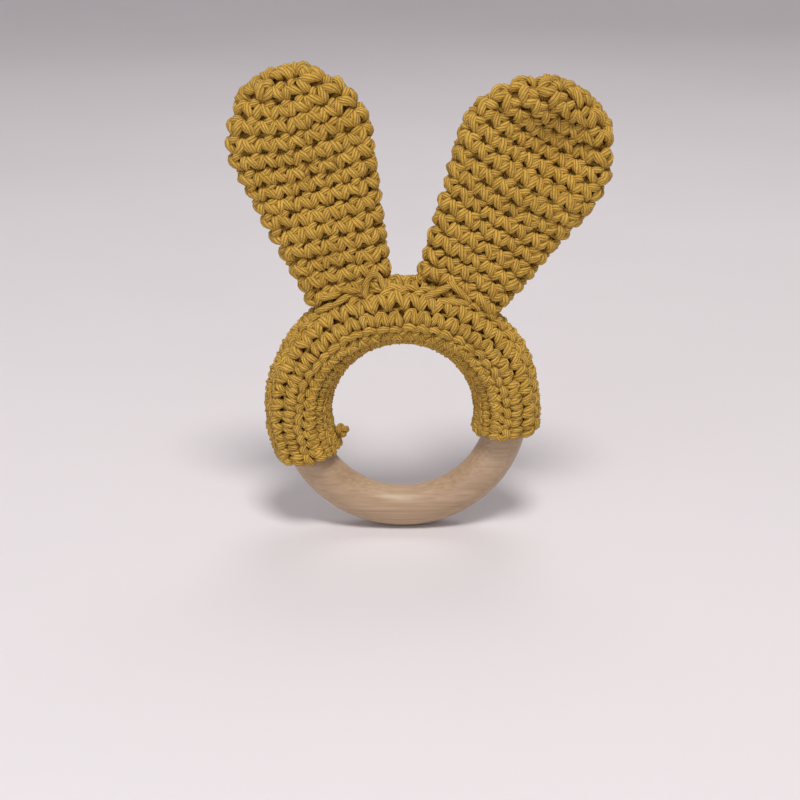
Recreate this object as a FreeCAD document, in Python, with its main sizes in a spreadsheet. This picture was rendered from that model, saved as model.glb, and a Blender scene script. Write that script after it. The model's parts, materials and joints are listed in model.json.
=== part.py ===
"""Crocheted bunny-ear teething ring, modelled as a parametric document.

The turned wooden ring stands upright: its axis is Y, its front faces -Y, +Z is up and the
origin is the ring's centre. A crocheted sleeve goes most of the way round the ring and two
flat, lightly stuffed ears are sewn to the sleeve's top. Angles round the ring are counted
clockwise from straight up, as seen from the front. Lengths are in millimetres.
"""
import FreeCAD, Part
import os
import Sketcher

# name, value and what it is
SIZES = (
    ("ring_center_radius", 29.2, "ring's axis to the middle of its round section"),
    ("ring_section_radius", 5.8, "ring's round section"),
    ("sleeve_clearance", 0.3, "gap between the ring and the sleeve's inside"),
    ("sleeve_fabric", 3.5, "mean thickness of the crocheted sleeve"),
    ("sleeve_inward_shift", 0.5, "how much further in the sleeve's section lies than the ring's"),
    ("sleeve_start_angle", -122.5, "left end of the sleeve"),
    ("sleeve_span", 229.0, "angle that the sleeve covers"),
    ("sleeve_edge_round", 1.6, "rounding of the sleeve's two ends"),
    ("seam_section_angle", 42.0, "closing seam's place, from outermost towards the back"),
    ("seam_yarn_radius", 1.0, "yarn of the closing seam"),
    ("seam_end_margin", 2.0, "angle that the seam stops short of each sleeve end"),
    ("yarn_clearance", 0.1, "gap round a sewn yarn and under the knot"),
    ("knot_radius", 1.6, "fastened-off yarn tail at the sleeve's left end"),
    ("knot_inset_angle", 12.0, "angle from the sleeve's left end to the knot"),
    ("seat_clearance", 0.3, "gap between the sleeve and the bottom of an ear"),
    ("ear_half_thickness", 4.4, "half of an ear's thickness"),
    ("ear_edge_flat", 0.05, "flat left between the two roundings of an ear's rim"),
    ("ear_corner_radius", 5.4, "rounding of the two bottom corners of an ear"),
    ("ear_fabric", 3.3, "crocheted wall of an ear"),
    ("filling_clearance", 0.2, "gap between an ear's wall and its filling"),
    ("left_seat_angle", -22.7, "where the left ear is sewn on"),
    ("left_base_width", 22.6, "width of the left ear at its seam"),
    ("left_top_radius", 19.2, "round top of the left ear"),
    ("left_top_shift", 3.8, "sideways place of that round top"),
    ("left_top_height", 36.9, "height of its middle over the ear's hinge line"),
    ("right_seat_angle", 24.2, "where the right ear is sewn on"),
    ("right_base_width", 23.8, "width of the right ear at its seam"),
    ("right_top_radius", 21.0, "round top of the right ear"),
    ("right_top_shift", 2.1, "sideways place of that round top"),
    ("right_top_height", 35.7, "height of its middle over the ear's hinge line"),
    ("stitch_yarn_radius", 0.9, "yarn of the sewn stitches"),
)
STITCHES = 4

# sizes that follow from the ones above
DERIVED = (
    ("sleeve_center_radius", "ring_center_radius - sleeve_inward_shift"),
    ("sleeve_section_radius", "ring_section_radius + sleeve_clearance + sleeve_fabric"),
    ("hinge_radius", "sleeve_center_radius + sleeve_section_radius + seat_clearance"
                     " + ear_half_thickness"),
    ("knot_center_radius", "sleeve_center_radius - sleeve_section_radius - yarn_clearance"
                           " - knot_radius"),
    ("knot_angle", "sleeve_start_angle + knot_inset_angle"),
)

doc = FreeCAD.newDocument("teething_ring")


# ---------------------------------------------------------------- sheet and sketch helpers
def make_sheet():
    sheet = doc.addObject("Spreadsheet::Sheet", "sizes")
    row = 1
    for name, value, note in SIZES:
        sheet.set("A%d" % row, note)
        sheet.set("B%d" % row, str(value))
        sheet.setAlias("B%d" % row, name)
        row += 1
    for name, formula in DERIVED:
        sheet.set("A%d" % row, name)
        sheet.set("B%d" % row, "=" + formula)
        sheet.setAlias("B%d" % row, name)
        row += 1
    doc.recompute()


def origin_plane(body, role):
    return next(part for part in body.Origin.OriginFeatures if part.Role == role)


def new_sketch(body, role, name):
    sketch = body.newObject("Sketcher::SketchObject", name)
    sketch.AttachmentSupport = (origin_plane(body, role), [""])
    sketch.MapMode = "FlatFace"
    return sketch


def hold(sketch, name, expression, *constraint):
    """Add a sized constraint and bind it to the sheet."""
    index = sketch.addConstraint(Sketcher.Constraint(*constraint))
    sketch.renameConstraint(index, name)
    sketch.setExpression("Constraints." + name, expression)


def sized_circle(sketch, name, across, along, radius):
    """A circle at (across, along); along is None for a centre on the sketch's X axis."""
    start = FreeCAD.Vector(20, 0 if along is None else 2, 0)
    circle = sketch.addGeometry(Part.Circle(start, FreeCAD.Vector(0, 0, 1), 1), False)
    hold(sketch, name + "_across", across, "DistanceX", -1, 1, circle, 3, 20)
    if along is None:
        sketch.addConstraint(Sketcher.Constraint("PointOnObject", circle, 3, -1))
    else:
        hold(sketch, name + "_along", along, "DistanceY", -1, 1, circle, 3, 2)
    hold(sketch, name + "_radius", radius, "Radius", circle, 1)


def turn(body, sketch, axis, angle):
    """Revolve a sketch about one of its own axes."""
    revolution = body.newObject("PartDesign::Revolution", body.Name + "_turn")
    revolution.Profile = sketch
    revolution.ReferenceAxis = (sketch, [axis])
    revolution.setExpression("Angle", angle)
    body.Tip = revolution
    return revolution


def place_round_ring(item, radius, angle):
    """Stand a piece at an angle round the ring, its own Z pointing away from the centre."""
    item.Placement = FreeCAD.Placement(FreeCAD.Vector(), FreeCAD.Rotation(FreeCAD.Vector(0, 1, 0), 1))
    item.setExpression("Placement.Base.x", "%s * sin(%s * 1 deg)" % (radius, angle))
    item.setExpression("Placement.Base.z", "%s * cos(%s * 1 deg)" % (radius, angle))
    item.setExpression("Placement.Rotation.Angle", "%s * 1 deg" % angle)


# ---------------------------------------------------------------- ring and sleeve
def make_wood_ring():
    body = doc.addObject("PartDesign::Body", "wood_ring")
    sketch = new_sketch(body, "XY_Plane", "ring_section")
    sized_circle(sketch, "section", "sizes.ring_center_radius", None, "sizes.ring_section_radius")
    turn(body, sketch, "V_Axis", "360 deg")
    return body


def end_rims(shape, radius):
    """Names of the circular edges of that radius, one round each end of a bent tube."""
    names = []
    for index, edge in enumerate(shape.Edges, 1):
        if isinstance(edge.Curve, Part.Circle) and abs(edge.Curve.Radius - radius) < 1e-6:
            if abs(edge.Curve.Axis.y) < 1e-6:
                names.append("Edge%d" % index)
    return names


def make_crochet_sleeve(sheet):
    body = doc.addObject("PartDesign::Body", "crochet_sleeve")
    sketch = new_sketch(body, "XY_Plane", "sleeve_section")
    sized_circle(sketch, "outside", "sizes.sleeve_center_radius", None,
                 "sizes.sleeve_section_radius")
    sized_circle(sketch, "inside", "sizes.ring_center_radius", None,
                 "sizes.ring_section_radius + sizes.sleeve_clearance")
    tube = turn(body, sketch, "V_Axis", "sizes.sleeve_span * 1 deg")
    place_round_ring(body, "0", "(sizes.sleeve_start_angle - 90)")
    doc.recompute()
    rounding = body.newObject("PartDesign::Fillet", "sleeve_ends")
    rounding.Base = (tube, end_rims(tube.Shape, float(sheet.sleeve_section_radius)))
    rounding.setExpression("Radius", "sizes.sleeve_edge_round")
    doc.recompute()
    channel = new_sketch(body, "XY_Plane", "seam_channel_section")
    seam_circle(channel, "sizes.seam_yarn_radius + sizes.yarn_clearance")
    groove = body.newObject("PartDesign::Groove", "seam_channel")
    groove.Profile = channel
    groove.ReferenceAxis = (channel, ["V_Axis"])
    groove.setExpression("Angle", "sizes.sleeve_span * 1 deg")
    body.Tip = groove
    return body


def seam_circle(sketch, radius):
    """The closing seam lies in the sleeve's surface, a little behind its outermost line."""
    sized_circle(
        sketch, "yarn",
        "sizes.sleeve_center_radius + sizes.sleeve_section_radius * cos(sizes.seam_section_angle * 1 deg)",
        "sizes.sleeve_section_radius * sin(sizes.seam_section_angle * 1 deg)",
        radius)


def make_sleeve_seam():
    body = doc.addObject("PartDesign::Body", "sleeve_seam")
    sketch = new_sketch(body, "XY_Plane", "seam_section")
    seam_circle(sketch, "sizes.seam_yarn_radius")
    turn(body, sketch, "V_Axis", "(sizes.sleeve_span - 2 * sizes.seam_end_margin) * 1 deg")
    place_round_ring(body, "0", "(sizes.sleeve_start_angle + sizes.seam_end_margin - 90)")
    return body


def make_end_knot():
    knot = doc.addObject("Part::Sphere", "sleeve_end_knot")
    knot.setExpression("Radius", "sizes.knot_radius")
    place_round_ring(knot, "sizes.knot_center_radius", "sizes.knot_angle")
    return knot


# ---------------------------------------------------------------- ears
def ear_outline(sketch, side, inset):
    """Straight base, two straight sides and a round top that the sides run into."""
    point = FreeCAD.Vector
    base = sketch.addGeometry(Part.LineSegment(point(-11, -4, 0), point(11, -4, 0)), False)
    right = sketch.addGeometry(Part.LineSegment(point(11, -4, 0), point(21, 33, 0)), False)
    circle = Part.Circle(point(3, 36, 0), point(0, 0, 1), 19)
    top = sketch.addGeometry(Part.ArcOfCircle(circle, -0.2, 3.3), False)
    left = sketch.addGeometry(Part.LineSegment(point(-16, 33, 0), point(-11, -4, 0)), False)
    sketch.addConstraint(Sketcher.Constraint("Coincident", base, 2, right, 1))
    sketch.addConstraint(Sketcher.Constraint("Coincident", left, 2, base, 1))
    sketch.addConstraint(Sketcher.Constraint("Tangent", right, 2, top, 1))
    sketch.addConstraint(Sketcher.Constraint("Tangent", top, 2, left, 1))
    sketch.addConstraint(Sketcher.Constraint("Symmetric", base, 1, base, 2, -2))
    hold(sketch, "level", "sizes.ear_half_thickness - (%s)" % inset,
         "DistanceY", base, 1, -1, 1, 4)
    hold(sketch, "base_width", "sizes.%s_base_width - 2 * (%s)" % (side, inset),
         "DistanceX", base, 1, base, 2, 22)
    hold(sketch, "top_radius", "sizes.%s_top_radius - (%s)" % (side, inset), "Radius", top, 19)
    hold(sketch, "top_shift", "sizes.%s_top_shift" % side, "DistanceX", -1, 1, top, 3, 3)
    hold(sketch, "top_height", "sizes.%s_top_height" % side, "DistanceY", -1, 1, top, 3, 36)


def bottom_corners(shape):
    """Names of the two lowest edges that run through the ear's thickness."""
    upright = []
    for index, edge in enumerate(shape.Edges, 1):
        ends = [vertex.Point for vertex in edge.Vertexes]
        if len(ends) == 2 and abs(ends[0].y - ends[1].y) > 1e-6:
            upright.append((round(ends[0].z, 4), "Edge%d" % index))
    return [name for height, name in sorted(upright)[:2]]


def face_rims(shape):
    """Names of the edges that lie wholly in the ear's front or back plane."""
    names = []
    for index, edge in enumerate(shape.Edges, 1):
        box = edge.BoundBox
        if box.YLength < 1e-4:
            names.append("Edge%d" % index)
    return names


def ear_blank(side, name, inset):
    """A flat ear with fully rounded rims, drawn in from the ear's outside by inset."""
    body = doc.addObject("PartDesign::Body", name)
    sketch = new_sketch(body, "XZ_Plane", name + "_outline")
    ear_outline(sketch, side, inset)
    pad = body.newObject("PartDesign::Pad", name + "_pad")
    pad.Profile = sketch
    pad.SideType = "Symmetric"
    pad.setExpression("Length", "2 * (sizes.ear_half_thickness - (%s))" % inset)
    doc.recompute()
    corners = body.newObject("PartDesign::Fillet", name + "_corners")
    corners.Base = (pad, bottom_corners(pad.Shape))
    corners.setExpression("Radius", "sizes.ear_corner_radius - (%s)" % inset)
    doc.recompute()
    rims = body.newObject("PartDesign::Fillet", name + "_rims")
    rims.Base = (corners, face_rims(corners.Shape))
    rims.setExpression("Radius", "sizes.ear_half_thickness - (%s) - sizes.ear_edge_flat" % inset)
    body.Tip = rims
    place_round_ring(body, "sizes.hinge_radius", "sizes.%s_seat_angle" % side)
    return body


def base_stitches(side, name, extra):
    """U-shaped stitches round the ear's bottom, each turned about the ear's hinge line."""
    body = doc.addObject("PartDesign::Body", name)
    sketch = new_sketch(body, "XY_Plane", name + "_sections")
    depth = "sizes.ear_half_thickness - sizes.stitch_yarn_radius"
    straight = "sizes.%s_base_width - 2 * sizes.ear_corner_radius" % side
    for number in range(STITCHES):
        start = FreeCAD.Vector(-6 + 4 * number, -3.5, 0)
        circle = sketch.addGeometry(Part.Circle(start, FreeCAD.Vector(0, 0, 1), 0.9), False)
        if number == 0:
            hold(sketch, "first", "(%s) / 2" % straight, "DistanceX", circle, 3, -1, 1, 6)
        else:
            hold(sketch, "pitch%d" % number, "(%s) / %d" % (straight, STITCHES - 1),
                 "DistanceX", circle - 1, 3, circle, 3, 4)
        hold(sketch, "depth%d" % number, depth, "DistanceY", circle, 3, -1, 1, 3.5)
        hold(sketch, "yarn%d" % number, "sizes.stitch_yarn_radius" + extra, "Radius", circle, 0.9)
    turn(body, sketch, "H_Axis", "180 deg")
    place_round_ring(body, "sizes.hinge_radius", "sizes.%s_seat_angle" % side)
    return body


def cut(name, base, tool):
    result = doc.addObject("Part::Cut", name)
    result.Base = base
    result.Tool = tool
    return result


def make_ear(side):
    """Hollow crocheted shell, the filling inside it and the yarn that sews it on."""
    outside = ear_blank(side, side + "_ear_outside", "0")
    hollow = ear_blank(side, side + "_ear_hollow", "sizes.ear_fabric")
    filling = ear_blank(side, side + "_ear_filling", "sizes.ear_fabric + sizes.filling_clearance")
    stitches = base_stitches(side, side + "_ear_seam", "")
    channels = base_stitches(side, side + "_ear_channels", " + sizes.yarn_clearance")
    bag = cut(side + "_ear_bag", outside, hollow)
    shell = cut(side + "_ear_shell", bag, channels)
    return [shell, filling, stitches]


# ---------------------------------------------------------------- checks and export
def refuse_faults(nodes):
    for item in doc.Objects:
        if "Invalid" in item.State or "Error" in item.State:
            raise RuntimeError("%s failed: %s" % (item.Name, item.State))
    for node in nodes:
        if node.Shape.isNull() or not node.Shape.isValid():
            raise RuntimeError(node.Label + " has no valid shape")


def export(nodes):
    os.makedirs("parts", exist_ok=True)
    for node in nodes:
        node.Shape.exportStep("parts/%s.step" % node.Label)
        box = node.Shape.optimalBoundingBox(False)
        print("%-18s %9.1f mm3  x %6.1f..%5.1f  y %5.1f..%4.1f  z %6.1f..%5.1f" % (
            node.Label, node.Shape.Volume, box.XMin, box.XMax,
            box.YMin, box.YMax, box.ZMin, box.ZMax))


make_sheet()
parts = [make_wood_ring(), make_crochet_sleeve(doc.sizes), make_sleeve_seam(), make_end_knot()]
parts += make_ear("left")
parts += make_ear("right")
doc.recompute()
refuse_faults(parts)
export(parts)
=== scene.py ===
"""Crocheted bunny-ear teething ring: a turned maple ring, a crocheted sleeve and two ears.

The yarn is modelled stitch by stitch. Each crocheted piece is one long yarn: a loop shape,
given below as a few knots, repeats along a line that winds over the piece's surface.
"""
import json
import math

import bpy
import numpy as np
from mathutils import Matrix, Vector


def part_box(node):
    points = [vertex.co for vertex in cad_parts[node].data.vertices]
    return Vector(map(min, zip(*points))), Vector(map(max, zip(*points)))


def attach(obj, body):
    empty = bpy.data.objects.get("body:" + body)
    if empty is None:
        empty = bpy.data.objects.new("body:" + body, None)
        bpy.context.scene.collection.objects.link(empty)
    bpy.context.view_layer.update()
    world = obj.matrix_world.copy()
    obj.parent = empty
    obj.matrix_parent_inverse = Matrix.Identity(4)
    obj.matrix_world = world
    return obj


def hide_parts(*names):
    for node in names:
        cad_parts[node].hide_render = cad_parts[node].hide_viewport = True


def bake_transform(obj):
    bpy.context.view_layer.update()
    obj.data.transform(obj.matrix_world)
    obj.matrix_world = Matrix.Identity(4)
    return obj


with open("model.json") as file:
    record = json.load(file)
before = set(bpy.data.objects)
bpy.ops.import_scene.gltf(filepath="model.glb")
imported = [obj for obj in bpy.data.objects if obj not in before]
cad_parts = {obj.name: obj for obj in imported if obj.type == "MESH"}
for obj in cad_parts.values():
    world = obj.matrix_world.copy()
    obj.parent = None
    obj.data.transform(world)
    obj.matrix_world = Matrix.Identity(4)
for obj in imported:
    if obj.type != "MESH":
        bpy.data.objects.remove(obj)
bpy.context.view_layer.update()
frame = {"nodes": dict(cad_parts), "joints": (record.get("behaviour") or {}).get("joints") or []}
bpy.ops.object.select_all(action="DESELECT")
MM = 0.001
rng = np.random.default_rng(7)

# the ring and its sleeve, from the frame, in mm
ring_low = np.array(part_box("wood_ring")[0]) / MM
sleeve_high = np.array(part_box("crochet_sleeve")[1]) / MM
FLOOR = ring_low[2]
SLEEVE_SECTION = sleeve_high[1]
SLEEVE_CENTER = sleeve_high[0] - SLEEVE_SECTION
SLEEVE_START, SLEEVE_END = -122.5, 106.5      # degrees, clockwise from the top
JOINTS = {joint["name"]: joint for joint in frame["joints"]}

# the yarn: worsted weight cotton, five plies of two
YARN_SCALE = 1.00          # radius of a slack leg, mm
PLIES = 5
PLY_RIDGE, PLY_GROOVE = 1.09, 0.88    # the lobed section's two radii, as shares of the yarn's
TWIST_PITCH = 17.0         # mm for one turn of the plies
STITCH_WIDTH = 4.5         # mm
ROUND_HEIGHT = 4.2         # mm
CHAIN_WIDTH = 3.9          # a stitch of an ear's starting chain, mm
YARN_LIFT = 1.75           # fabric's outside over its middle surface, mm
EDGE_LIFT = 1.50           # the same at an ear's thin edge
EAR_HALF_DEPTH = 2.35      # an ear's middle surface at its edge, either side of its plane, mm
SEWN_INTO_SLEEVE = 0.75    # how far the sewing sinks between the sleeve's stitches, mm
SHADE_SHEET_DEPTH = 0.55        # the dark sheet of painted shade seen through an ear's gaps, under the fabric's middle surface, mm
WADDING_DEPTH = 1.15       # and the filling's

# One stitch, right side. Each knot: place along the round and in the direction of work (in
# stitches), lift over the fabric's middle in mm, thickness as a share of the slack yarn, and
# how many steps the yarn takes to the next knot.
FRONT_STITCH = (
    (-0.06, -0.36, -0.45, 0.72, 1), (-0.13, -0.21, 0.60, 1.16, 2), (-0.20, 0.04, 0.90, 1.32, 2),
    (-0.27, 0.27, 0.55, 1.10, 1), (-0.29, 0.44, -0.20, 0.80, 1), (0.05, 0.48, -0.90, 0.66, 1),
    (0.58, 0.40, -0.20, 0.82, 1), (0.47, 0.19, 0.66, 1.20, 2), (0.27, -0.05, 1.05, 1.36, 2),
    (0.10, -0.23, 0.75, 1.12, 1), (0.00, -0.36, -0.40, 0.74, 1), (0.18, -0.06, -0.75, 0.66, 1),
    (0.33, -0.23, 0.45, 1.02, 2), (0.50, -0.38, 0.85, 1.16, 2), (0.68, -0.48, 0.45, 1.02, 1),
    (0.80, -0.50, -0.60, 0.74, 1),
)
# the same stitch from the wrong side: two plump legs and a cross bar below them
BACK_STITCH = (
    (-0.55, 0.36, -0.40, 0.76, 1), (-0.38, 0.32, 0.50, 1.00, 2), (-0.16, 0.25, 0.88, 1.10, 2),
    (0.06, 0.23, 0.95, 1.12, 2), (0.28, 0.29, 0.80, 1.06, 1), (0.44, 0.36, 0.25, 0.90, 1),
    (0.36, 0.08, -0.80, 0.70, 1), (0.33, 0.02, 0.35, 0.98, 2), (0.26, -0.20, 0.95, 1.20, 2),
    (0.13, -0.44, 0.30, 0.95, 1), (-0.11, -0.44, 0.30, 0.95, 1), (-0.23, -0.20, 0.90, 1.14, 2),
    (-0.29, 0.02, 0.35, 0.96, 1), (0.02, 0.08, -0.95, 0.66, 1),
)
# a sewn stitch over a seam, edge to edge
WHIP_STITCH = (
    (-0.30, -0.42, -0.60, 0.70, 1), (-0.20, -0.24, 0.85, 0.90, 2), (0.00, 0.02, 1.20, 0.95, 2),
    (0.18, 0.24, 0.80, 0.90, 1), (0.28, 0.42, -0.60, 0.70, 1), (0.50, 0.00, -1.30, 0.60, 1),
)


# ---------------------------------------------------------------- yarn along a path
def make_profile():
    """The yarn's lobed section, one lobe to a ply, about 1 mm in radius."""
    curve = bpy.data.curves.new("yarn_section", "CURVE")
    spline = curve.splines.new("POLY")
    spline.points.add(2 * PLIES - 1)
    for number, point in enumerate(spline.points):
        angle = math.pi * number / PLIES
        radius = MM * (PLY_RIDGE if number % 2 else PLY_GROOVE)
        point.co = (radius * math.cos(angle), radius * math.sin(angle), 0, 1)
    spline.use_cyclic_u = True
    profile = bpy.data.objects.new("yarn_section", curve)
    bpy.context.scene.collection.objects.link(profile)
    return profile


def wind(name, runs, material):
    """Sweep the yarn's section along each run, a pair of points and radii in mm."""
    curve = bpy.data.curves.new(name, "CURVE")
    curve.dimensions = "3D"
    curve.bevel_mode = "OBJECT"
    curve.bevel_object = section
    curve.use_fill_caps = True
    lengths = []
    for points, radii in runs:
        spline = curve.splines.new("POLY")
        spline.points.add(len(points) - 1)
        steps = np.linalg.norm(np.diff(points, axis=0), axis=1)
        along = np.concatenate(([0], np.cumsum(steps)))
        lengths.append(along[-1])
        places = np.column_stack((points * MM, np.ones(len(points))))
        spline.points.foreach_set("co", places.ravel())
        spline.points.foreach_set("radius", radii)
        spline.points.foreach_set("tilt", along * 2 * math.pi / TWIST_PITCH)
    piece = bpy.data.objects.new(name, curve)
    bpy.context.scene.collection.objects.link(piece)
    piece.select_set(True)
    bpy.context.view_layer.objects.active = piece
    bpy.ops.object.convert(target="MESH")
    bpy.ops.object.shade_smooth()
    piece = bpy.context.object
    piece.data.materials.clear()
    piece.data.materials.append(material)
    # the map runs 0 to 1 along the yarn: make that whole centimetres
    layer = piece.data.uv_layers[0].data
    values = np.zeros(len(layer) * 2, np.float32)
    layer.foreach_get("uv", values)
    values[0::2] *= max(lengths) / 10
    layer.foreach_set("uv", values)
    piece.select_set(False)
    return piece


def smooth_path(knots):
    """A Catmull-Rom line through knots whose last column is the steps to the next knot."""
    counts = knots[:, -1].astype(int)
    values = knots[:, :-1]
    padded = np.vstack((values[:1], values, values[-1:], values[-1:]))
    out = []
    for index in range(len(values) - 1):
        before, start, end, after = padded[index:index + 4]
        for step in range(counts[index]):
            share = step / counts[index]
            square, cube = share ** 2, share ** 3
            out.append(0.5 * (2 * start + (end - before) * share
                              + (2 * before - 5 * start + 4 * end - after) * square
                              + (3 * start - before - 3 * end + after) * cube))
    out.append(values[-1])
    return np.array(out)


def stitch_knots(template, count):
    """Knots of a run of stitches, each a little different as hand work is."""
    base = np.array(template)
    knots = []
    for number in range(count):
        stitch = base.copy()
        lean = rng.normal(0, 0.09)
        stitch[:, 0] += number + 0.5 + lean * stitch[:, 1] + rng.normal(0, 0.035)
        stitch[:, 0] += rng.normal(0, 0.020, len(stitch))
        stitch[:, 1] += rng.normal(0, 0.040) + rng.normal(0, 0.022, len(stitch))
        stitch[:, 2] += rng.normal(0, 0.12)
        stitch[:, 3] *= 1 + rng.normal(0, 0.05)
        knots.append(stitch)
    return np.vstack(knots)


# ---------------------------------------------------------------- ears
class Ear:
    """The ear's middle surface, by distance from the tip and share of the way round.

    Sizes are in mm: the width at the bottom, the round top's radius and how far it sits to one
    side. crest is the starting chain's middle and half its length. dish is the dent's middle
    (across and up), half its width and height, its depth, and the height of its raised edge.
    """

    def __init__(self, side, base_width, top_radius, top_shift, crest, dish):
        self.side = side
        joint = JOINTS[side + "_ear_flop"]
        self.origin = np.array(joint["pos_m"]) / MM
        self.across = np.array(joint["axis"])
        self.back = np.array((0.0, 1.0, 0.0))
        self.out = np.cross(self.across, self.back)
        self.crest = crest
        self.dish = dish
        self.half_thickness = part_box(side + "_ear_shell")[1][1] / MM
        self.radius = top_radius - EDGE_LIFT
        base_half = base_width / 2 - EDGE_LIFT
        top_height = self.top_reach() - top_radius
        base = np.array((0.0, -self.half_thickness))
        top = np.array((top_shift, top_height))
        self.axis = (top - base) / np.linalg.norm(top - base)
        self.length = np.linalg.norm(top - base) + self.radius
        # the sides are straight, from the bottom's corners to where they meet the round top
        self.slope = math.asin((self.radius - base_half) / (self.length - self.radius))
        self.turn = self.radius * (1 + math.sin(self.slope))

    def top_reach(self):
        """Height of the ear's top over the hinge line, read from the CAD shell."""
        shell = frame["nodes"][self.side + "_ear_shell"]
        points = np.array([vertex.co for vertex in shell.data.vertices])
        return ((points / MM - self.origin) @ self.out).max()

    def half_width(self, drop):
        """Half the ear's width at a distance from its tip."""
        drop = np.clip(drop, 0.0, None)
        round_top = np.sqrt(np.clip(self.radius ** 2 - (self.radius - drop) ** 2, 0, None))
        side = self.radius * math.cos(self.slope) - (drop - self.turn) * math.tan(self.slope)
        return np.where(drop < self.turn, round_top, side)

    def bow(self, drop):
        """How much higher a round lies at the ear's two edges than in its middle."""
        # 3 mm or so near the tip, dying out down the ear, and the other way in the last 22 mm
        top = 5.0 * (1 - np.exp(-drop / 5)) * np.exp(-drop / 24)
        base = np.clip((drop - self.length + 22) / 22, 0, 1)
        return top - 2.2 * base ** 2 * (3 - 2 * base)

    def outline(self, drop):
        """Half width, edge roundness and perimeter of the round at that distance."""
        width = self.half_width(drop - self.bow(drop))
        # the tip closes over its first 3.5 mm
        taper = np.clip(drop / 3.5, 0, 1)
        rim = EAR_HALF_DEPTH * np.sqrt(1 - (1 - taper) ** 2) + 0.02
        rim = np.minimum(rim, width + 0.01)
        straight = np.clip(width - rim, 0, None)
        return width, rim, straight, 4 * straight + 2 * math.pi * rim

    def surface(self, share, drop):
        """Points in mm: share runs from the back's middle over the left edge to the front."""
        width, rim, straight, around = self.outline(drop)
        way = (share % 1.0) * around
        first = np.clip(way, 0, straight)
        left = np.clip(way - straight, 0, math.pi * rim) / rim
        front = np.clip(way - straight - math.pi * rim, 0, 2 * straight)
        right = np.clip(way - 3 * straight - math.pi * rim, 0, math.pi * rim) / rim
        last = np.clip(way - 3 * straight - 2 * math.pi * rim, 0, straight)
        x = -first - rim * np.sin(left) + front + rim * np.sin(right) - last
        y = rim * np.cos(left) + rim * (1 - np.cos(right))
        # the filling swells the middle by a quarter, and less near the tip and the bottom
        inside = np.clip(1 - (x / (width + 1e-6)) ** 2, 0, 1)
        plump = np.clip(drop / 16, 0, 1) * np.clip((self.length - drop) / 14, 0.15, 1)
        y = y * (1 + 0.24 * inside * plump)
        along = self.length - drop + self.bow(drop) * (x / (width + 1e-6)) ** 2
        axis_x, axis_z = self.axis
        local_x = axis_x * along + axis_z * x
        local_z = -self.half_thickness + axis_z * along - axis_x * x
        # the back gives way too, by less than the front
        y = y + self.hollow(local_x, local_z) * np.where(y < 0.5, 1.0, 0.45)
        return (self.origin + local_x[..., None] * self.across + y[..., None] * self.back
                + local_z[..., None] * self.out)

    def hollow(self, x, z):
        """A dent pressed in the ear's front just under its top, with a raised edge."""
        center_x, center_z, wide, tall, deep, edge = self.dish
        away = np.hypot((x - center_x) / wide, (z - center_z) / tall)
        return deep * np.exp(-away ** 2) - edge * np.exp(-((away - 1.5) / 0.5) ** 2)

    def normal(self, share, drop):
        """Which way the surface faces there, by differences over a quarter of a mm."""
        step = 0.25
        _, _, _, around = self.outline(drop)
        turn = step / np.maximum(around, 3)
        sideways = self.surface(share + turn, drop) - self.surface(share - turn, drop)
        down = self.surface(share, drop + step) - self.surface(share, drop - step)
        normal = np.cross(sideways, down)
        size = np.linalg.norm(normal, axis=-1, keepdims=True)
        return -normal / np.maximum(size, 1e-9)

    def settle(self, drop):
        """The last rounds crowd together where the ear is sewn down on the sleeve."""
        start = self.length - 2.0
        over = np.clip(drop - start, 0, None)
        return np.where(drop > start, start + 3.9 * np.tanh(over / 3.9), drop)

    def yarn_run(self):
        """The spiral of stitches from the tip to the bottom: points and radii."""
        rounds = (self.length + 2.4) / ROUND_HEIGHT - 0.5
        turns = np.linspace(-0.45, rounds, 6000)
        points = self.surface(turns, self.settle((0.5 + turns) * ROUND_HEIGHT))
        steps = np.linalg.norm(np.diff(points, axis=0), axis=1)
        along = np.concatenate(([0], np.cumsum(steps)))
        count = int(along[-1] / STITCH_WIDTH)
        path = smooth_path(stitch_knots(FRONT_STITCH, count))
        turn = np.interp(path[:, 0], along / along[-1] * count, turns)
        drop = np.clip(self.settle((0.5 + turn + path[:, 1]) * ROUND_HEIGHT), 0.05, None)
        points = self.surface(turn, drop)
        points = points + self.normal(turn, drop) * path[:, 2:3]
        return points, path[:, 3] * YARN_SCALE

    def crest_run(self):
        """The starting chain, which lies over the ear's top from one side to the other."""
        center, reach = self.crest
        count = round(2 * reach / CHAIN_WIDTH)
        path = smooth_path(stitch_knots(FRONT_STITCH, count))
        x = center + (path[:, 0] / count - 0.5) * 2 * reach
        lift = 0.5 + path[:, 2]
        fall = self.radius - np.sqrt(self.radius ** 2 - x ** 2)
        spread = path[:, 1] * (3.4 + lift)
        along = self.length - fall + lift - 0.16 * spread ** 2
        x = x * (1 + lift / self.radius)
        axis_x, axis_z = self.axis
        points = (self.origin + np.outer(axis_x * along + axis_z * x, self.across)
                  + np.outer(spread + 0.2, self.back)
                  + np.outer(axis_z * along - axis_x * x - self.half_thickness, self.out))
        return points, path[:, 3] * YARN_SCALE

    def inner_skin(self, depth, ripple, around=60, down=34):
        """A grid of points over the ear at a depth under the fabric's middle, in mm."""
        shares = np.arange(around) / around
        drops = 0.25 + depth * 0.8 + (self.length + 0.6 - depth) * np.linspace(0, 1, down) ** 0.9
        grid_share, grid_drop = np.meshgrid(shares, drops)
        sink = depth + ripple * rng.uniform(-1, 1, grid_share.shape)
        points = self.surface(grid_share, grid_drop)
        return points - self.normal(grid_share, grid_drop) * sink[..., None]

    def at(self, across, face, height, lift):
        """Point on the ear's front (-1) or back (1), height over its bottom edge."""
        along = self.length - height
        width = float(self.half_width(np.array(along)))
        y = face * (2.5 + lift + 1.2 * (1 - min(abs(across) / width, 1) ** 2))
        return (self.origin + across * self.across + y * self.back
                + (height - self.half_thickness) * self.out)

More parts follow.
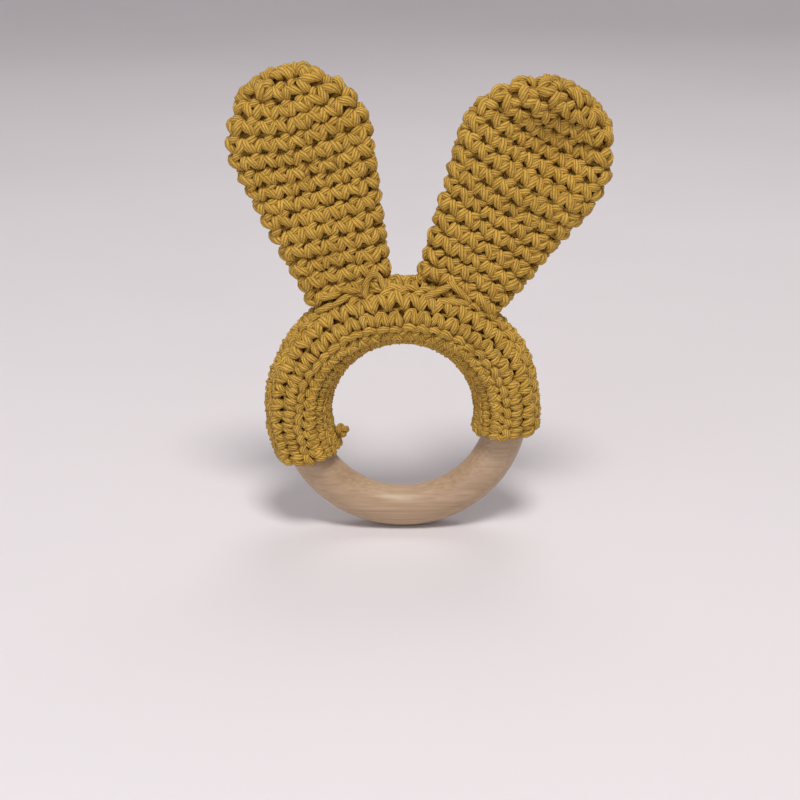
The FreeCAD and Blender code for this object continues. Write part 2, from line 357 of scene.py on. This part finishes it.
    def bend(self, piece):
        """Bake the piece's transform into its mesh."""
        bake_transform(piece)


def skin(name, points, material, close_start, close_end):
    """A tube of quads through a grid of points, in mm."""
    rows, columns, _ = points.shape
    vertices = [tuple(point) for point in points.reshape(-1, 3) * MM]
    faces = []
    for row in range(rows - 1):
        for column in range(columns):
            after = (column + 1) % columns
            faces.append((row * columns + column, row * columns + after,
                          (row + 1) * columns + after, (row + 1) * columns + column))
    if close_start:
        faces.append(tuple(range(columns))[::-1])
    if close_end:
        faces.append(tuple((rows - 1) * columns + column for column in range(columns)))
    mesh = bpy.data.meshes.new(name)
    mesh.from_pydata(vertices, [], faces)
    mesh.uv_layers.new(name="UVMap")
    mesh.materials.append(material)
    piece = bpy.data.objects.new(name, mesh)
    bpy.context.scene.collection.objects.link(piece)
    outward(piece)
    return piece


def outward(piece):
    """Point the faces outwards and shade them smooth."""
    piece.select_set(True)
    bpy.context.view_layer.objects.active = piece
    bpy.ops.object.mode_set(mode="EDIT")
    bpy.ops.mesh.select_all(action="SELECT")
    bpy.ops.mesh.normals_make_consistent(inside=False)
    bpy.ops.object.mode_set(mode="OBJECT")
    bpy.ops.object.shade_smooth()
    piece.select_set(False)


def join(main, *others):
    """Make the others part of the main piece's mesh."""
    for piece in (*others, main):
        piece.select_set(True)
    bpy.context.view_layer.objects.active = main
    bpy.ops.object.join()
    main.select_set(False)


def make_ear(ear):
    """The ear's yarn over a dark sheet of painted shade for its gaps, and the wadding inside."""
    yarn = wind(ear.side + "_ear", [ear.yarn_run(), ear.crest_run()], cotton)
    shade_sheet = ear.inner_skin(SHADE_SHEET_DEPTH, 0.0)
    join(yarn, skin(ear.side + "_shade_sheet", shade_sheet, gap_shade_cotton, True, True))
    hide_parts(ear.side + "_ear_shell")
    ear.bend(yarn)
    lumps = ear.inner_skin(WADDING_DEPTH, 0.12)
    filling = skin(ear.side + "_ear_wadding", lumps, wadding, True, True)
    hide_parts(ear.side + "_ear_filling")
    ear.bend(filling)


def spot(ear, across, place, face, lift):
    """A point beside an ear's bottom: a place of 0 or more is a height on the ear in mm, and
    one under 0 is an angle round the sleeve's section in degrees."""
    if place < 0:
        return sleeve_spot(ear, across, face, -place, lift)
    return ear.at(across, face, place, lift)


def sew_ear(ear, strands, arch):
    """Sewn strands along an ear's bottom: (across, place) at both ends, then the face. The arch
    is a loop that stands up in front, in knots of across, place, lift and radius."""
    knots = []
    for start, start_place, end, end_place, face in strands:
        middle = 0.5 * (spot(ear, start, start_place, face, 1.0)
                        + spot(ear, end, end_place, face, 1.0)) + (0, face * 0.4, 0)
        line = (spot(ear, start, start_place, face, -1.4), spot(ear, start, start_place, face, 0.6),
                middle, spot(ear, end, end_place, face, 0.6), spot(ear, end, end_place, face, -1.4))
        for point, radius, steps in zip(line, (0.70, 0.86, 0.94, 0.86, 0.70), (3, 4, 4, 3, 3)):
            knots.append((*point, radius, steps))
    runs = [smooth_path(np.array(knots))]
    if arch:
        knots = [(*spot(ear, across, place, -1, lift), radius, 4)
                 for across, place, lift, radius in arch]
        runs.append(smooth_path(np.array(knots)))
    seam = wind(ear.side + "_ear_sewing", [(run[:, :3], run[:, 3] * YARN_SCALE) for run in runs],
                sewing)
    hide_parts(ear.side + "_ear_seam")
    ear.bend(seam)


def sleeve_spot(ear, across, face, section_angle, lift):
    """Point over the sleeve beside an ear's bottom, across in mm along the sleeve."""
    seat = math.atan2(ear.origin[0], ear.origin[2]) + across / (SLEEVE_CENTER + SLEEVE_SECTION)
    angle = math.radians(section_angle)
    section = SLEEVE_SECTION - SEWN_INTO_SLEEVE + lift
    radius = SLEEVE_CENTER + section * math.cos(angle)
    return np.array((radius * math.sin(seat), face * section * math.sin(angle),
                     radius * math.cos(seat)))


# ---------------------------------------------------------------- sleeve
ROWS = 14
ROW_STITCHES = 32
SLEEVE_SHADE_SHEET = -0.7       # the dark sheet of painted shade seen through the sleeve's gaps, against the fabric's middle, mm
WHIP_LIFT = 0.35           # how far the whip stitches lie over the rows, mm
# the rows' edges round the section: on the sleeve's two arms, and between the ears, where
# the ears pull the front rows long
ARM_EDGES = (-42, -17, 8, 31, 60, 99, 124, 149, 173, 197, 221, 245, 269, 293, 318)
PULLED_EDGES = (-42, -17, 8, 33, 74, 114, 136, 158, 181, 204, 227, 250, 273, 296, 318)


def sleeve_point(along, row, lift):
    """Point over the sleeve's middle surface, along in stitches and round it in rows."""
    share = along / ROW_STITCHES
    # the stitches are wider in the middle of a row than at its ends
    slack = share + 0.12 * np.sin(2 * math.pi * (share - 0.5)) / (2 * math.pi)
    arm = np.interp(row, np.arange(ROWS + 1), ARM_EDGES)
    pulled = np.interp(row, np.arange(ROWS + 1), PULLED_EDGES)
    # the sleeve's two ends are pulled in on the outer side
    outer = 1 + np.cos(np.radians(arm))
    start = SLEEVE_START + 1.2 + 4.5 * outer
    end = SLEEVE_END - 2.2 - 3.5 * outer
    turn = start + (end - start) * slack
    # how far the ears' pull reaches: 40 degrees each way from the top
    between = np.exp(-((turn - 1) / 40) ** 2)
    across = np.radians(arm + between * (pulled - arm))
    section = SLEEVE_SECTION - YARN_LIFT + lift
    radius = SLEEVE_CENTER + section * np.cos(across)
    turn = np.radians(turn)
    return np.stack((radius * np.sin(turn), -section * np.sin(across),
                     radius * np.cos(turn)), axis=-1)


def make_sleeve():
    """Rows worked to and fro, so right and wrong side rows take turns."""
    knots = []
    for row in range(ROWS):
        if row % 2:
            line = stitch_knots(FRONT_STITCH, ROW_STITCHES)
        else:
            line = stitch_knots(BACK_STITCH, ROW_STITCHES)[::-1].copy()
        line[:, 1] += row + 0.5
        knots.append(line)
    path = smooth_path(np.vstack(knots))
    # towards the hole the stitches crowd, and the yarn in them is pressed thin and flat
    around = np.radians(np.interp(path[:, 1], np.arange(ROWS + 1), ARM_EDGES))
    crowd = np.clip(1 + 0.62 * np.cos(around), 0.42, 1.0)
    points = sleeve_point(path[:, 0], path[:, 1], path[:, 2] * crowd)
    radii = path[:, 3] * YARN_SCALE * (0.55 + 0.45 * crowd)
    yarn = wind("crocheted_sleeve", [(points, radii)], cotton)
    # a dark sheet of painted shade under the stitches, 28 faces round and 39 along, a tenth of a
    # stitch short at both ends
    grid_row, grid_along = np.meshgrid(np.arange(28) * ROWS / 28,
                                       np.linspace(0.1, ROW_STITCHES - 0.1, 40))
    points = sleeve_point(grid_along, grid_row, np.full(grid_along.shape, SLEEVE_SHADE_SHEET))
    join(yarn, skin("sleeve_shade_sheet", points, gap_shade_cotton, False, False))
    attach(yarn, "sleeve")
    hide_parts("crochet_sleeve")

    path = smooth_path(stitch_knots(WHIP_STITCH, ROW_STITCHES))
    points = sleeve_point(path[:, 0], path[:, 1], path[:, 2] + WHIP_LIFT)
    seam = wind("sleeve_whip_seam", [(points, path[:, 3] * YARN_SCALE)], sewing)
    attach(seam, "sleeve")
    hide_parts("sleeve_seam")


KNOT_SIZE = 0.43           # a third of the knot's radius, mm
KNOT_YARN = 0.80           # radius of the yarn pulled tight in it, mm


def make_end_knot():
    """The yarn's end, tied in an overhand knot against the sleeve's inner edge."""
    low, high = (np.array(corner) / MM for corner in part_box("sleeve_end_knot"))
    center = (low + high) / 2
    outward_way = np.array((center[0], 0, center[2])) / math.hypot(center[0], center[2])
    center = center + 0.8 * outward_way     # pulled in between the stitches
    side_way = np.cross(outward_way, (0, 1, 0))
    turn = np.linspace(0.35, 2 * math.pi - 0.35, 60)
    loop = np.column_stack((np.sin(turn) + 2 * np.sin(2 * turn),
                            np.cos(turn) - 2 * np.cos(2 * turn), -1.9 * np.sin(3 * turn)))
    loop = loop * KNOT_SIZE
    body = (center + loop[:, :1] * side_way + loop[:, 2:] * np.array((0, 1, 0))
            + loop[:, 1:2] * outward_way)
    # the two ends run back into the sleeve
    root = np.array([center + outward_way * reach for reach in (4.2, 3.2, 2.2)])
    points = np.vstack((root + side_way * 0.5, body, (root + side_way * -0.6)[::-1][:2]))
    knot = wind("end_knot", [(points, np.full(len(points), KNOT_YARN))], sewing)
    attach(knot, "sleeve")
    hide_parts("sleeve_end_knot")


# ---------------------------------------------------------------- materials
def linear(hex_colour):
    """sRGB hex to the linear values that shaders take."""
    channels = [int(hex_colour[place:place + 2], 16) / 255 for place in (1, 3, 5)]
    return tuple(c / 12.92 if c <= 0.04045 else ((c + 0.055) / 1.055) ** 2.4
                 for c in channels) + (1.0,)


def add_node(tree, kind, settings=(), values=(), links=()):
    """Add a node; settings are its properties, values its sockets, links (socket, source)."""
    node = tree.nodes.new(kind)
    for name, value in dict(settings).items():
        setattr(node, name, value)
    for name, value in dict(values).items():
        node.inputs[name].default_value = value
    for name, source in links:
        tree.links.new(source, node.inputs[name])
    return node


def new_material(name):
    """A node material and its shader."""
    material = bpy.data.materials.new(name)
    material.use_nodes = True
    tree = material.node_tree
    return material, tree, tree.nodes["Principled BSDF"]


def ramp(tree, source, stops):
    """A colour ramp through (place, hex colour) stops."""
    node = add_node(tree, "ShaderNodeValToRGB", links=[("Fac", source)])
    elements = node.color_ramp.elements
    while len(elements) < len(stops):
        elements.new(0.5)
    for element, (place, colour) in zip(elements, stops):
        element.position = place
        element.color = linear(colour)
    return node.outputs["Color"]


def make_cotton(name, light, dark, groove_shade):
    """Combed cotton, plied and matt: each ply shows as a soft ridge, with a dark line of painted
    shade in the groove between.
    """
    material, tree, shader = new_material(name)
    shader.inputs["Roughness"].default_value = 0.80
    shader.inputs["Sheen Weight"].default_value = 0.14
    shader.inputs["Sheen Roughness"].default_value = 0.5
    shader.inputs["Sheen Tint"].default_value = linear("#F0DCA8")
    shader.inputs["Specular IOR Level"].default_value = 0.30
    yarn_map = add_node(tree, "ShaderNodeUVMap", {"uv_map": "UVMap"})
    # loose fibres: 0.8 mm long, a thirtieth of the way round
    stretch = add_node(tree, "ShaderNodeMapping", {}, {"Scale": (12.0, 30.0, 1.0)},
                       [("Vector", yarn_map.outputs["UV"])])
    fibres = add_node(tree, "ShaderNodeTexNoise", {}, {"Scale": 1.0, "Detail": 3.0},
                      [("Vector", stretch.outputs["Vector"])])
    place = add_node(tree, "ShaderNodeTexCoord")
    # dye takes unevenly over 4 mm or so
    tone = add_node(tree, "ShaderNodeTexNoise", {}, {"Scale": 260.0, "Detail": 2.0},
                    [("Vector", place.outputs["Object"])])
    mixed = add_node(tree, "ShaderNodeMix", {"data_type": "FLOAT"}, {"Factor": 0.4},
                     [("A", fibres.outputs["Fac"]), ("B", tone.outputs["Fac"])])
    colour = ramp(tree, mixed.outputs[0], ((0.34, dark), (0.62, light)))
    # two singles to a ply: ten grooves round the yarn, darkened with painted shade
    split = add_node(tree, "ShaderNodeSeparateXYZ", links=[("Vector", yarn_map.outputs["UV"])])
    turns = add_node(tree, "ShaderNodeMath", {"operation": "MULTIPLY_ADD"},
                     {1: 2 * PLIES * math.pi, 2: 0.0}, [(0, split.outputs["Y"])])
    wave = add_node(tree, "ShaderNodeMath", {"operation": "SINE"}, {}, [(0, turns.outputs[0])])
    ridge = add_node(tree, "ShaderNodeMath", {"operation": "ABSOLUTE"}, {},
                     [(0, wave.outputs[0])])
    groove_shade_mask = ramp(tree, ridge.outputs[0], ((0.02, "#000000"), (0.50, "#FFFFFF")))
    # painted shade: the groove colour is mixed in where the mask is dark
    shaded_grooves = add_node(tree, "ShaderNodeMix", {"data_type": "RGBA"}, {"A": linear(groove_shade)},
                     [("Factor", groove_shade_mask), ("B", colour)])
    tree.links.new(shaded_grooves.outputs["Result"], shader.inputs["Base Color"])
    height = add_node(tree, "ShaderNodeMath", {"operation": "MULTIPLY_ADD"}, {1: 0.5},
                      [(0, fibres.outputs["Fac"]), (2, ridge.outputs[0])])
    bump = add_node(tree, "ShaderNodeBump", {}, {"Strength": 0.8, "Distance": 0.00026},
                    [("Height", height.outputs[0])])
    tree.links.new(bump.outputs["Normal"], shader.inputs["Normal"])
    return material


def make_maple():
    """Turned hard maple with a thin oil finish: close-grained, silky, fine straight lines."""
    material, tree, shader = new_material("turned_maple_oiled")
    shader.inputs["Roughness"].default_value = 0.42
    shader.inputs["IOR"].default_value = 1.5
    place = add_node(tree, "ShaderNodeTexCoord")
    # pores: 30 mm long lines, under 1 mm apart
    grain_map = add_node(tree, "ShaderNodeMapping", {}, {"Scale": (30.0, 1300.0, 1600.0)},
                         [("Vector", place.outputs["Object"])])
    grain = add_node(tree, "ShaderNodeTexNoise", {}, {"Scale": 1.0, "Detail": 4.0},
                     [("Vector", grain_map.outputs["Vector"])])
    # growth rings: 8 mm apart, running the length of the blank
    rings_map = add_node(tree, "ShaderNodeMapping", {}, {"Scale": (8.0, 90.0, 130.0)},
                         [("Vector", place.outputs["Object"])])
    rings = add_node(tree, "ShaderNodeTexNoise", {}, {"Scale": 1.0, "Detail": 2.0},
                     [("Vector", rings_map.outputs["Vector"])])
    mixed = add_node(tree, "ShaderNodeMix", {"data_type": "FLOAT"}, {"Factor": 0.4},
                     [("A", grain.outputs["Fac"]), ("B", rings.outputs["Fac"])])
    colour = ramp(tree, mixed.outputs[0], ((0.30, "#A08567"), (0.50, "#B2977A"),
                                           (0.70, "#C2A98D")))
    tree.links.new(colour, shader.inputs["Base Color"])
    bump = add_node(tree, "ShaderNodeBump", {}, {"Strength": 0.12, "Distance": 0.0002},
                    [("Height", grain.outputs["Fac"])])
    tree.links.new(bump.outputs["Normal"], shader.inputs["Normal"])
    return material


def make_matt(name, light, dark, scale):
    """A dull surface with a soft uneven tone, scale in spots to the metre."""
    material, tree, shader = new_material(name)
    shader.inputs["Roughness"].default_value = 0.92
    place = add_node(tree, "ShaderNodeTexCoord")
    spots = add_node(tree, "ShaderNodeTexNoise", {}, {"Scale": scale, "Detail": 4.0},
                     [("Vector", place.outputs["Object"])])
    colour = ramp(tree, spots.outputs["Fac"], ((0.35, dark), (0.65, light)))
    tree.links.new(colour, shader.inputs["Base Color"])
    bump = add_node(tree, "ShaderNodeBump", {}, {"Strength": 0.3, "Distance": 0.0002},
                    [("Height", spots.outputs["Fac"])])
    tree.links.new(bump.outputs["Normal"], shader.inputs["Normal"])
    return material


# ---------------------------------------------------------------- stage, light and camera
IMAGE_WIDTH = 800
MM_ON_IMAGE = 3.58      # how much of that width a mm at the ring's centre takes
# the paper sweep, in mm: how far it lies flat, its curve's radius, and its wall's top
SWEEP_FLAT, SWEEP_CURVE, SWEEP_HEIGHT = 1300, 900, 2600


def area_light(name, place, target, size, power, colour):
    """A round softbox, in metres and watts, that faces its target."""
    light = bpy.data.lights.new(name, "AREA")
    light.shape = "DISK"
    light.size = size
    light.energy = power
    light.color = linear(colour)[:3]
    lamp = bpy.data.objects.new(name, light)
    lamp.location = place
    lamp.rotation_euler = (Vector(target) - Vector(place)).to_track_quat("-Z", "Y").to_euler()
    bpy.context.scene.collection.objects.link(lamp)


def make_stage():
    """A round paper sweep that curves up to a wall on all sides, and the studio's lights."""
    paper = make_matt("pale_paper_sweep", "#E7E4E7", "#E3E0E3", 3.0)
    bend = np.radians(np.linspace(0, 90, 16))
    reach = np.concatenate(([200.0, 700.0], SWEEP_FLAT + SWEEP_CURVE * np.sin(bend),
                            [SWEEP_FLAT + SWEEP_CURVE]))
    rise = np.concatenate(([0.0, 0.0], SWEEP_CURVE * (1 - np.cos(bend)), [SWEEP_HEIGHT]))
    around = np.linspace(0, 2 * math.pi, 96, endpoint=False)
    points = np.stack((np.outer(reach, np.cos(around)), np.outer(reach, np.sin(around)),
                       np.repeat(rise[:, None] + FLOOR, len(around), axis=1)), axis=-1)
    skin("paper_sweep", points, paper, True, False)
    world = bpy.data.worlds.new("soft_studio")
    bpy.context.scene.world = world
    world.use_nodes = True
    background = world.node_tree.nodes["Background"]
    background.inputs["Color"].default_value = linear("#E4E2E4")
    background.inputs["Strength"].default_value = 0.42
    area_light("overhead_softbox", (0.10, -0.66, 1.36), (0, 0, 0.03), 0.46, 14.5, "#FFFAF6")
    area_light("front_fill", (-0.35, -0.60, 0.25), (0, 0, 0.03), 0.5, 0.9, "#F4F6FF")
    area_light("top_back_light", (0.15, 0.60, 0.95), (0, 0, 0.03), 0.60, 2.0, "#FFFAF6")


def make_camera():
    """A long lens, a little above the toy."""
    distance, elevation = 0.430, math.radians(20)
    target = Vector((-0.0008, 0, 0.0027))
    eye = target + distance * Vector((0, -math.cos(elevation), math.sin(elevation)))
    camera = bpy.data.cameras.new("camera")
    camera.sensor_width = 36
    camera.lens = camera.sensor_width * MM_ON_IMAGE * distance / MM / IMAGE_WIDTH
    holder = bpy.data.objects.new("camera", camera)
    holder.location = eye
    holder.rotation_euler = (target - eye).to_track_quat("-Z", "Y").to_euler()
    bpy.context.scene.collection.objects.link(holder)
    bpy.context.scene.camera = holder
    # plain sRGB, so that the yarn keeps its yellow
    bpy.context.scene.view_settings.view_transform = "Standard"


section = make_profile()
# each cotton's third colour is painted shade in the grooves between its plies
cotton = make_cotton("combed_cotton_mustard", "#DFB552", "#AD852E", "#6E4D14")
sewing = make_cotton("combed_cotton_sewing", "#E0B654", "#AE8630", "#704F16")
# painted shade: the dark sheet seen through the gaps between stitches
gap_shade_cotton = make_matt("painted_gap_shade", "#9A7024", "#7A551C", 900.0)
wadding = make_matt("polyester_wadding", "#F1EFEA", "#DEDBD4", 1500.0)
frame["nodes"]["wood_ring"].data.materials.clear()
frame["nodes"]["wood_ring"].data.materials.append(make_maple())
left = Ear("left", 23.4, 19.0, 4.1, (-2.6, 9.5), (1.4, 26.0, 11.0, 9.0, 1.8, 0.4))
right = Ear("right", 24.6, 20.8, 2.3, (2.4, 10.5), (6.0, 40.0, 11.5, 9.0, 5.4, 1.5))
make_sleeve()
make_end_knot()
for ear in (left, right):
    make_ear(ear)
sew_ear(left, ((-10.0, -24, -5.6, -31, -1), (-5.0, -33, 0.5, -27, -1), (-7.6, 0.8, -2.6, 0.2, -1),
               (-1.0, 0.9, 3.4, -26, -1), (9.5, 0.8, 5.4, -26, 1), (4.8, 0.6, 0.6, -27, 1),
               (0.2, 0.9, -4.2, -25, 1), (-4.8, 0.6, -9.4, -26, 1)),
        ((4.6, -43, -1.0, 0.70), (4.4, -38, 0.6, 0.80), (4.9, -29, 1.3, 0.86),
         (6.0, 0.6, 1.4, 0.90), (7.9, 1.6, 1.5, 0.88), (9.3, 0.3, 1.3, 0.86),
         (9.8, -29, 0.9, 0.82), (10.6, -37, -0.8, 0.7)))
sew_ear(right, ((-9.4, -47, -3.2, 0.8, -1), (-4.2, 1.2, 3.0, -27, -1), (-4.6, -48, 2.6, -34, -1),
                (5.0, 0.8, 9.6, -24, -1), (8.8, 0.8, 4.6, -26, 1), (4.0, 0.6, -0.4, -27, 1),
                (-1.0, 0.9, -5.2, -25, 1), (-5.6, 0.6, -9.8, -26, 1)), ())
bpy.data.objects.remove(section)
make_stage()
make_camera()
